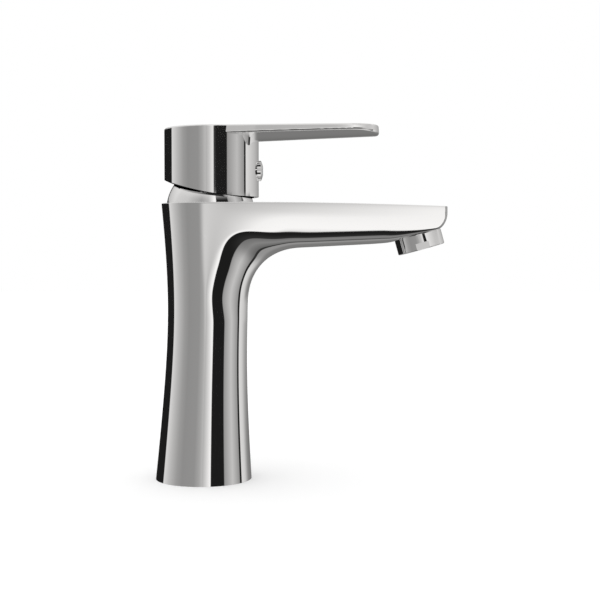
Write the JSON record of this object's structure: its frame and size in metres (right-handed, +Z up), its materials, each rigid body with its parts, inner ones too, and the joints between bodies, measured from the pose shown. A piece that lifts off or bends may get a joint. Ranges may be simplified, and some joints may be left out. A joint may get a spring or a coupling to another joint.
{
  "type": "basin mixer tap",
  "caption": "Single-lever basin mixer tap: round column and flat spout in one chromed casting, cap-and-paddle handle over a ceramic-disc cartridge, tilted aerator.",
  "frame": {"origin": "centre of the round base on the deck surface", "axes": "+X out along the spout, +Z up, symmetric about the XZ plane when the lever is centred"},
  "size_m": [0.1542, 0.0508, 0.1865],
  "materials": {
    "chrome_plate": "polished",
    "index_enamel": "gloss",
    "seal_rubber": "matt",
    "cartridge_plastic": "satin",
    "rotor_plastic": "satin",
    "limit_plastic": "satin",
    "ceramic": "lapped",
    "stem_brass": "machined",
    "nut_brass": "machined",
    "pin_steel": "machined",
    "aerator_plastic": "satin"
  },
  "bodies": {
    "tap": {"body": "chrome_plate", "base_seal": "seal_rubber", "cartridge_base": "cartridge_plastic", "inlet_seals": "seal_rubber", "disc_seal": "seal_rubber", "fixed_disc": "ceramic", "cartridge_housing": "cartridge_plastic", "housing_o_ring": "seal_rubber", "cartridge_nut": "nut_brass", "limit_ring": "limit_plastic", "dome_cover": "chrome_plate", "dome_o_ring": "seal_rubber", "aerator_housing": "chrome_plate", "aerator_washer": "seal_rubber", "aerator_insert": "aerator_plastic", "aerator_screen": "aerator_plastic", "aerator_outlet": "aerator_plastic"},
    "swivel": {"rotor": "rotor_plastic", "pivot_pin": "pin_steel"},
    "lever": {"stem": "stem_brass", "handle": "chrome_plate", "handle_bush": "rotor_plastic", "set_screw": "pin_steel", "index_plug": "chrome_plate", "index_disc": "index_enamel"},
    "carriage": {"carriage": "rotor_plastic", "moving_disc": "ceramic"}
  },
  "joints": [
    {"name": "temperature", "type": "hinge", "parent": "tap", "child": "swivel", "pos_m": [0.0038, 0, 0.147], "axis": [0, 0, 1], "range_deg": [-50, 50]},
    {"name": "lift", "type": "hinge", "parent": "swivel", "child": "lever", "pos_m": [0.0038, 0, 0.147], "axis": [0, -1, 0], "range_deg": [0, 22]},
    {"name": "disc_slide", "type": "slide", "parent": "swivel", "child": "carriage", "axis": [1, 0, 0], "range_m": [0, 0.0049]}
  ],
  "couplings": [
    {"joint": "disc_slide", "follows": "lift", "m_per_rad": 0.0122}
  ]
}
